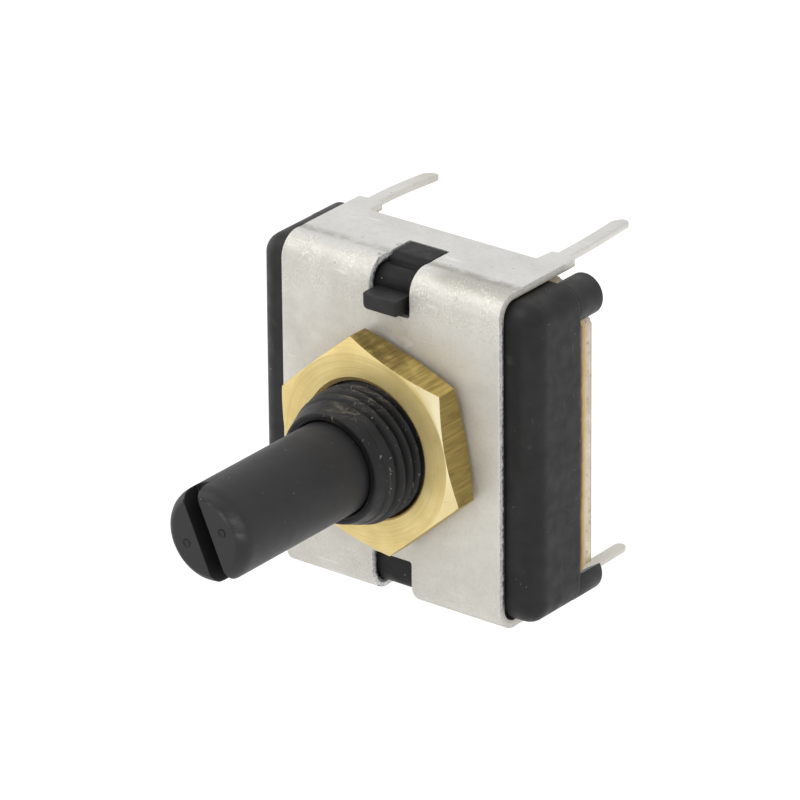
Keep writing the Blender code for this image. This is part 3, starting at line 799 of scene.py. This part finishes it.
def bracket_section():
    """Side view of the bent sheet, with a shallow press mark behind each bend."""
    def dip(y):
        return 0.035 * math.exp(-(((y - 2.15) / 0.32) ** 2))

    steps = [1.75, 1.9, 2.0, 2.1, 2.2, 2.3, 2.45, 2.6, 2.8, 3.0]
    flange = [(y, BRACKET_TOP - dip(y)) for y in steps] + [(LEG_END + 1, BRACKET_TOP)]
    back = [(LEG_END + 1, BRACKET_TOP - SHEET)]
    bend = (BEND_R, BRACKET_TOP - BEND_R)
    upper = arc(bend, BEND_R, 180, 90, 18) + flange + back + arc(bend, BEND_R - SHEET, 90, 180, 18)
    return upper + [(y, -z) for y, z in reversed(upper)]


def bracket_plan():
    """Outline from above, up to the shoulders that the legs stand on."""
    right = [(BRACKET_HALF, -1, 0), (BRACKET_HALF, LEG_SHOULDER, 0.22),
             (LEG_X + LEG_HALF - 0.02, LEG_SHOULDER + 0.07, 0.05),
             (LEG_X - LEG_HALF + 0.02, LEG_SHOULDER + 0.07, 0.05),
             (LEG_INNER, LEG_SHOULDER, 0.12), (LEG_INNER - 0.12, FLANGE_REAR, 0.22)]
    points = right + [(-x, y, r) for x, y, r in reversed(right)]
    return eased([(x, y) for x, y, _ in points], [r for _, _, r in points])


def make_bracket(finish, edge_finish):
    slot = [(-SLOT_HALF, SLOT_LOW), (SLOT_HALF, SLOT_LOW), (SLOT_HALF, 13), (-SLOT_HALF, 13)]
    front = eased(slot, [0.22, 0.22, 0, 0])
    slot = [(-SLOT_HALF, -2), (SLOT_HALF, -2), (SLOT_HALF, SLOT_REAR), (-SLOT_HALF, SLOT_REAR)]
    top = eased(slot, [0, 0, 0.15, 0.15])
    shape = carved(
        prism(bracket_section(), "X", -10, 10),
        ("INTERSECT", prism(bracket_plan(), "Z", -14, 14)),
        ("DIFFERENCE", lathe([(HOLE_R, -1), (HOLE_R, 2)], 96)),
        ("DIFFERENCE", prism(front, "Y", -1, 1.2)),
        ("DIFFERENCE", prism(top, "Z", 10.2, 13)),
        ("DIFFERENCE", prism([(x, -z) for x, z in front], "Y", -1, 1.2)),
        ("DIFFERENCE", prism(top, "Z", -13, -10.2)),
    )
    for face in shape.faces:
        face.material_index = int(abs(face.normal.x) > 0.9)
    bracket = piece("bracket", "mounting_bracket", shape, finish, bevel=0.05, segments=3, limit=40)
    bracket.data.materials.append(edge_finish)


def make_legs(finish):
    """Solder legs with rounded edges; those in sight are bent a little, each its own way."""
    both = [(0.55, 0.0, 0.0, 0.0), (0.30, 0.08, 0.08, 0.0), (0.12, 0.20, 0.20, 0.03),
            (0.03, 0.30, 0.30, 0.08), (0.0, 0.34, 0.34, 0.12)]
    left_cut = [(0.60, 0.0, 0.0, 0.0), (0.35, 0.16, 0.0, 0.0), (0.12, 0.33, 0.0, 0.0),
                (0.02, 0.38, 0.04, 0.02), (0.0, 0.42, 0.09, 0.06)]
    legs = {"a": (1, 1, -0.08, 0.16, 0.18, 0.50, 0.26, left_cut),
            "b": (-1, 1, -0.12, -0.40, 0.14, 0.48, 0.25, left_cut),
            "c": (-1, -1, 0.05, 0.10, 0.05, 0.48, 0.25, both),
            "d": (1, -1, -0.04, 0.02, 0.0, 0.44, 0.21, both)}
    for name, (side, level, aside, lift, short, half, thick, tip) in legs.items():
        rings = []
        places = [(LEG_END - LEG_SHOULDER - 0.9 * i + 0.3, 0.0, 0.0, 0.0) for i in range(7)]
        for back, left, right, thin in places + tip:
            y = LEG_END - short - back
            share = (y - LEG_SHOULDER) / (LEG_END - LEG_SHOULDER)
            share *= smooth(y, LEG_SHOULDER, LEG_END)
            low, high = thin - thick, thick - thin
            ring = eased([(left - half, low), (half - right, low), (half - right, high),
                          (left - half, high)], LEG_ROUND, 3)
            middle_x = side * LEG_X + share * aside
            middle_z = level * (BRACKET_TOP - SHEET / 2) + share * lift
            rings.append([(middle_x + x, y, middle_z + z) for x, z in ring])
        piece("leg_" + name, "mounting_bracket", rings_to_mesh(rings), finish, sharp=60)


# ---------------------------------------------------------------- nut and shaft

def hexagon_radius(angle):
    """Distance from the axis to a hexagon with slightly round corners."""
    half = NUT_FLATS / 2
    off = (angle + math.pi / 6) % (math.pi / 3) - math.pi / 6
    flat = half / math.cos(off)
    centre = (half - NUT_FILLET) / math.cos(math.pi / 6)
    to_corner = math.pi / 6 - abs(off)
    along = centre * math.cos(to_corner)
    inside = NUT_FILLET ** 2 - (centre * math.sin(to_corner)) ** 2
    if inside > 0:
        return min(flat, along + math.sqrt(inside))
    return flat


def make_nut(finish):
    turn = math.radians(NUT_TURN + 120)
    angles = []
    for flat in range(6):
        for i in range(24):
            share = (i - 12) / 12
            bent = math.copysign(abs(share) ** 0.7, share) if i else -1.0
            angles.append(flat * math.pi / 3 + bent * math.pi / 6)

    def ring(radius_of, y_of):
        made = []
        for angle in angles:
            limit = hexagon_radius(angle)
            radius = radius_of(limit)
            a = angle + turn
            made.append((radius * math.cos(a), y_of(limit), radius * math.sin(a)))
        return made

    def chamfer(level, crown, rise, share):
        def radius(limit):
            return crown + (limit - crown) * share

        def height(limit):
            return level + rise * (radius(limit) - crown)
        return ring(radius, height)

    def plain(radius, y, lift=0.0):
        return [(x, y, z + lift) for x, y, z in ring(lambda limit: radius, lambda limit: y)]

    rings = [plain(NUT_BORE, NUT_FRONT + 0.22), plain(NUT_BORE + 0.19, NUT_FRONT + 0.015, NUT_LIFT),
             plain(NUT_BORE + 0.22, NUT_FRONT, NUT_LIFT), plain(5.5, NUT_FRONT),
             plain(NUT_CROWN - 0.05, NUT_FRONT)]
    rings += [chamfer(NUT_FRONT, NUT_CROWN, NUT_SLOPE, share) for share in (0.06, 0.5, 0.97)]
    for share in (0.03, 0.3, 0.5, 0.7, 0.97):
        rings.append(ring(
            lambda limit: limit,
            lambda limit, share=share: (1 - share) * (NUT_FRONT + NUT_SLOPE * (limit - NUT_CROWN))
            + share * (NUT_REAR - NUT_REAR_SLOPE * (limit - NUT_REAR_CROWN)),
        ))
    rings += [chamfer(NUT_REAR, NUT_REAR_CROWN, -NUT_REAR_SLOPE, share)
              for share in (0.97, 0.5, 0.06)]
    rings += [plain(NUT_REAR_CROWN - 0.05, NUT_REAR), plain(NUT_BORE + 0.3, NUT_REAR),
              plain(NUT_BORE, NUT_REAR - 0.3)]
    piece("nut", "hex_nut", rings_to_mesh(rings, closed=True), finish, sharp=24)


def make_shaft(finish):
    """A turned shaft with a screwdriver slot and two shallow ejector marks on its end."""
    profile = [(SHAFT_R - SHAFT_CHAMFER - 0.12, SHAFT_TIP),
               (SHAFT_R - SHAFT_CHAMFER + 0.02, SHAFT_TIP + 0.03),
               (SHAFT_R - 0.42, SHAFT_TIP + 0.14), (SHAFT_R - 0.22, SHAFT_TIP + 0.33),
               (SHAFT_R - 0.09, SHAFT_TIP + 0.55), (SHAFT_R - 0.02, SHAFT_TIP + 0.82),
               (SHAFT_R, SHAFT_TIP + 1.1), (SHAFT_R, -14), (SHAFT_R, -8), (SHAFT_R, -2),
               (SHAFT_R, 2.5)]
    half = SLOT_WIDTH / 2
    slot = turned_by([(-half, -5), (half, -5), (half, 5), (-half, 5)], SLOT_TURN)
    tenon = turned_by(arc((0, 0), TENON_R, TENON_OPEN, 360 - TENON_OPEN, 36), 90)
    steps = [("DIFFERENCE", prism(slot, "Y", SHAFT_TIP - 1, SHAFT_TIP + SLOT_DEEP)),
             ("UNION", prism(tenon, "Y", 2.3, TENON_END)),
             ("DIFFERENCE", lathe([(CORE_R, CORE_END), (CORE_R, TENON_END + 1.25)], 32))]
    for side in (-1, 1):
        place = Vector(turned_by([(side * MARK_PLACE, 0.0)], SLOT_TURN)[0])
        deep = 0.012 if side < 0 else 0.005
        dimple = lathe([(MARK_R, SHAFT_TIP - 0.5), (MARK_R, SHAFT_TIP + deep),
                        (0.1, SHAFT_TIP + 0.03)], 28)
        bmesh.ops.translate(dimple, vec=(place.x, 0, place.y + 0.1 * side), verts=dimple.verts)
        steps.append(("DIFFERENCE", dimple))
    shape = carved(lathe(profile, 144), *steps)
    piece("shaft_body", "shaft", shape, finish, bevel=0.05, segments=3, limit=40)


# ---------------------------------------------------------------- contact board

def board_outline(inset=0.0):
    """A square with a round notch at each corner for a post, and a square one beside the flat post.
    A negative inset makes the square bigger and leaves the notches."""
    half = BOARD_HALF - inset
    notch_r = NOTCH_R + max(inset, 0.0)
    reach = math.degrees(math.acos((half - POST_PITCH) / notch_r))
    cut = math.degrees(0.33 / notch_r)
    start = POST_PITCH - notch_r * math.sin(math.radians(reach))
    notch = [(start - 0.50, half), (start - 0.03, half - 0.34)]
    post = (POST_PITCH, POST_PITCH)
    notch += reversed(arc(post, notch_r, 360 - reach - cut, 90 + reach + cut, 12))
    notch += [(half - 0.34, start - 0.03), (half, start - 0.50)]
    low, side = KEY_Z + max(inset, 0.0), POST_PITCH - notch_r
    outline = []
    for turn in range(4):
        if turn == 1:
            outline += [(half, low), (side, low), (side, -half)]
        else:
            outline += turned_by(notch, -90 * turn)
    return outline


def make_board(finish):
    steps = []
    for i in (-1, 0, 1):
        for radius, high in ((PIN_HOLE_R, BOARD_REAR + 1), (RIVET_HEAD_R, BOARD_FRONT + 0.35)):
            hole = lathe([(radius, BOARD_FRONT - 1), (radius, high)], 32)
            bmesh.ops.translate(hole, vec=(PIN_PITCH * i, 0, PIN_Z), verts=hole.verts)
            steps.append(("DIFFERENCE", hole))
    shape = carved(prism(board_outline(), "Y", BOARD_FRONT, BOARD_REAR), *steps)
    piece("board", "circuit_board", shape, finish, bevel=0.06, segments=2, limit=50)


def make_bead(finish):
    """The adhesive: a flat ring under the board that rises as an uneven fillet round its sides."""
    levels = [(0.6, CASE_REAR + 0.02), (-0.38, CASE_REAR + 0.02), (-0.36, 5.70), (-0.29, 5.90),
              (-0.20, 6.12), (-0.10, 6.36), (-0.03, 6.58), (0.02, BEAD_REAR), (0.2, BEAD_REAR),
              (0.2, 5.70), (0.6, 5.70)]
    rings = [[(x, y, z) for x, z in board_outline(inset)] for inset, y in levels]
    shape = rings_to_mesh(rings, closed=True)
    piece("adhesive_bead", "adhesive_seal", shape, finish, sharp=50)


# ---------------------------------------------------------------- pieces kept from the CAD model

def finish_cad_nodes(finishes):
    for node, (finish, bevel) in finishes.items():
        thing = frame["nodes"][node]
        thing.data.materials.clear()
        thing.data.materials.append(finish.material)
        if bevel:
            soften(thing, bevel)


# ---------------------------------------------------------------- studio

def make_studio():
    scene = bpy.context.scene
    scene.view_settings.view_transform = "Standard"
    world = bpy.data.worlds.new("studio")
    world.use_nodes = True
    scene.world = world
    tree = world.node_tree
    back = tree.nodes["Background"]
    where = tree.nodes.new("ShaderNodeTexCoord")
    axes = tree.nodes.new("ShaderNodeSeparateXYZ")
    ramp = tree.nodes.new("ShaderNodeMapRange")
    for i, level in enumerate((-0.4, 1.0, 0.82, 1.05), 1):
        ramp.inputs[i].default_value = level
    tree.links.new(where.outputs["Generated"], axes.inputs[0])
    tree.links.new(axes.outputs["Z"], ramp.inputs[0])
    tree.links.new(ramp.outputs[0], back.inputs["Strength"])
    back.inputs["Color"].default_value = (1.0, 1.0, 1.0, 1.0)

    shape = bmesh.new()
    bmesh.ops.create_grid(shape, x_segments=1, y_segments=1, size=3.0)
    floor = as_object("floor", shape)
    paper = bpy.data.materials.new("white_paper")
    paper.use_nodes = True
    shader = paper.node_tree.nodes["Principled BSDF"]
    for key, value in (("Base Color", (0.12, 0.12, 0.12, 1.0)), ("Roughness", 0.9),
                       ("Specular IOR Level", 0.1), ("Emission Color", (1.0, 1.0, 1.0, 1.0)),
                       ("Emission Strength", 0.98)):
        shader.inputs[key].default_value = value
    floor.data.materials.append(paper)

    for name, place, size, power in (("key", (-0.35, -0.30, 0.55), 0.50, 1.1),
                                     ("left", (-0.55, -0.10, 0.10), 0.40, 0.55),
                                     ("fill", (0.45, -0.25, 0.35), 0.40, 0.08)):
        light = bpy.data.lights.new(name, "AREA")
        light.size = size
        light.energy = power
        lamp = bpy.data.objects.new(name, light)
        scene.collection.objects.link(lamp)
        lamp.location = Vector(place)
        lamp.rotation_euler = (AXIS - lamp.location).to_track_quat("-Z", "Y").to_euler()


def make_camera():
    azimuth, elevation, roll = (
        math.radians(a) for a in (CAMERA_AZIMUTH, CAMERA_ELEVATION, CAMERA_ROLL))
    reach = math.cos(elevation)
    back = Vector((math.sin(azimuth) * reach, -math.cos(azimuth) * reach, math.sin(elevation)))
    right = Vector((math.cos(azimuth), math.sin(azimuth), 0.0))
    up = back.cross(right)
    level, tilt = math.cos(roll), math.sin(roll)
    right, up = right * level + up * tilt, up * level - right * tilt
    data = bpy.data.cameras.new("camera")
    data.sensor_width = 36.0
    data.lens = CAMERA_LENS
    data.clip_start = 0.01
    camera = bpy.data.objects.new("camera", data)
    bpy.context.scene.collection.objects.link(camera)
    aim = AXIS + MM * Vector(CAMERA_AIM)
    turn = Matrix((right, up, back)).transposed().to_4x4()
    camera.matrix_world = Matrix.Translation(aim + MM * CAMERA_DISTANCE * back) @ turn
    bpy.context.scene.camera = camera


def main():
    make_camera()
    make_studio()
    case = thread_plastic()
    strip = black_plastic("strip_plastic", grain=7.0, depth=0.006, roughness=0.52, specular=0.24,
                          scuffs=0.3)
    small = small_plastic()
    make_housing(case.material)
    make_posts(small.material)
    make_latches(strip.material, small.material)
    tin = tin_plate()
    make_bracket(tin.material, cut_edge().material)
    make_legs(tin.material)
    make_nut(nut_brass().material)
    make_shaft(shaft_plastic().material)
    make_board(cream_board().material)
    make_bead(amber_adhesive().material)

    steel = metal("spring_steel", (0.50, 0.50, 0.51), 0.28)
    bronze = metal("phosphor_bronze", (0.66, 0.42, 0.25), 0.30, 4.0)
    pins = metal("tinned_brass", (0.66, 0.64, 0.60), 0.34, 2.5)
    nylon = moulded("natural_nylon", (0.70, 0.68, 0.60), 0.5)
    carbon = printed("carbon_print", (0.02, 0.02, 0.021), 0.5)
    silver = printed("silver_print", (0.60, 0.60, 0.58), 0.42, 1.0)
    finish_cad_nodes({
        "rotor": (nylon, 0.0), "contact_wiper": (bronze, 0.0), "retaining_ring": (steel, 0.03),
        "thrust_washer": (steel, 0.03), "detent_spring": (steel, 0.03), "detent_ball": (steel, 0.0),
        "common_track": (silver, 0.0),
        "channel_a_track": (carbon, 0.0), "channel_b_track": (carbon, 0.0),
        "channel_a_terminal": (pins, 0.05), "common_terminal": (pins, 0.05),
        "channel_b_terminal": (pins, 0.05), "channel_a_rivet": (pins, 0.06),
        "common_rivet": (pins, 0.06), "channel_b_rivet": (pins, 0.06),
    })


main()
